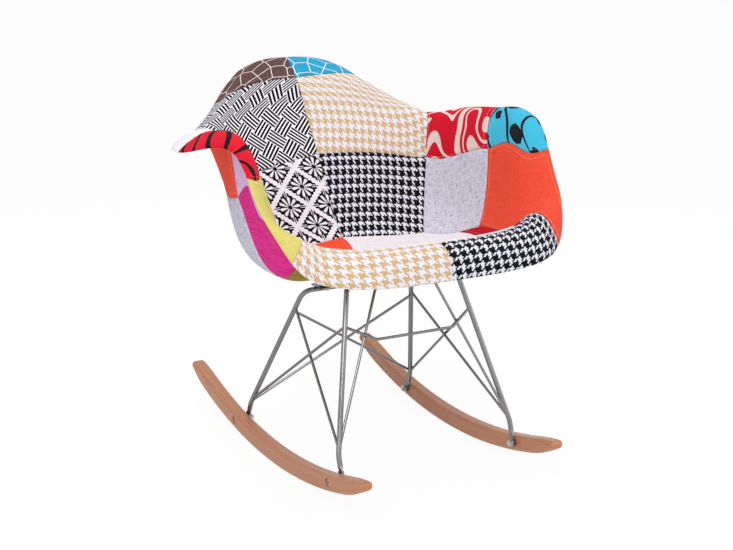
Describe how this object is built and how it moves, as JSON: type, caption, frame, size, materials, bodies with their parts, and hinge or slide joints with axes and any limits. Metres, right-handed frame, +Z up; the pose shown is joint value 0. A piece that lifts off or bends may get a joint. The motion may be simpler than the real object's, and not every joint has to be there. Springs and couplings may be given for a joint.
{
  "type": "upholstered rocking armchair",
  "caption": "Padded bucket armchair covered in patchwork fabric, on a braced steel rod base with curved wooden rockers, for sitting and gentle rocking.",
  "frame": {"origin": "on the floor, at the middle of the chair's box: midway between the two rockers and midway between their front and rear tips", "axes": "+Z up, -Y to the front, where the sitter faces, +X to the right as seen from the front"},
  "size_m": [0.6884, 0.676, 0.6709],
  "materials": {
    "brown_crackle": "matte",
    "blue_crackle": "matte",
    "tan_houndstooth": "matte",
    "black_houndstooth": "matte",
    "basket_weave": "matte",
    "flower_tile": "matte",
    "red_swirl": "matte",
    "grey_linen": "matte",
    "turquoise_blot": "matte",
    "orange_weave": "matte",
    "dark_red_weave": "matte",
    "red_stripe": "matte",
    "yellow_green_weave": "matte",
    "white_line_weave": "matte",
    "pale_weave": "matte",
    "lilac_weave": "matte",
    "magenta_weave": "matte",
    "olive_gold_weave": "matte",
    "foam": "matte",
    "shell_plastic": "matte",
    "bright_rod": "polished",
    "beech": "satin",
    "zinc_hardware": "satin",
    "brass_insert": "satin",
    "rubber_pad": "matte"
  },
  "bodies": {
    "root": {"front_cross_wire": "bright_rod", "front_leg_hoop": "bright_rod", "front_vee_wire_left": "bright_rod", "front_vee_wire_right": "bright_rod", "inner_arm_front_left": "yellow_green_weave", "inner_arm_front_right": "orange_weave", "inner_arm_top_left": "red_stripe", "inner_arm_top_right": "turquoise_blot", "inner_back_lower_left": "flower_tile", "inner_back_lower_right": "black_houndstooth", "inner_back_top_left": "brown_crackle", "inner_back_top_right": "blue_crackle", "inner_back_upper_left": "basket_weave", "inner_back_upper_right": "tan_houndstooth", "inner_corner_lower_left": "grey_linen", "inner_corner_lower_right": "grey_linen", "inner_corner_upper_left": "white_line_weave", "inner_corner_upper_right": "red_swirl", "inner_foam": "foam", "inner_seat_centre": "pale_weave", "inner_seat_front_left": "tan_houndstooth", "inner_seat_front_right": "black_houndstooth", "inner_seat_side_left": "orange_weave", "inner_seat_side_right": "dark_red_weave", "mount_screws": "zinc_hardware", "mount_tabs": "bright_rod", "outer_arm_front_left": "lilac_weave", "outer_arm_front_right": "yellow_green_weave", "outer_arm_rear_left": "orange_weave", "outer_arm_rear_right": "lilac_weave", "outer_back_lower_left": "black_houndstooth", "outer_back_lower_right": "magenta_weave", "outer_back_upper_left": "yellow_green_weave", "outer_back_upper_right": "tan_houndstooth", "outer_side_front_left": "magenta_weave", "outer_side_front_right": "orange_weave", "outer_side_rear_left": "grey_linen", "outer_side_rear_right": "tan_houndstooth", "outer_under_front_left": "olive_gold_weave", "outer_under_front_right": "grey_linen", "outer_under_rear": "grey_linen", "rear_brace_falling": "bright_rod", "rear_brace_rising": "bright_rod", "rear_leg_hoop": "bright_rod", "rocker_bolts": "zinc_hardware", "rocker_left": "beech", "rocker_nuts": "zinc_hardware", "rocker_right": "beech", "rocker_washers": "zinc_hardware", "seat_shell": "shell_plastic", "shock_pads": "rubber_pad", "side_brace_falling_left": "bright_rod", "side_brace_falling_right": "bright_rod", "side_brace_rising_left": "bright_rod", "side_brace_rising_right": "bright_rod", "threaded_inserts": "brass_insert"}
  },
  "joints": []
}
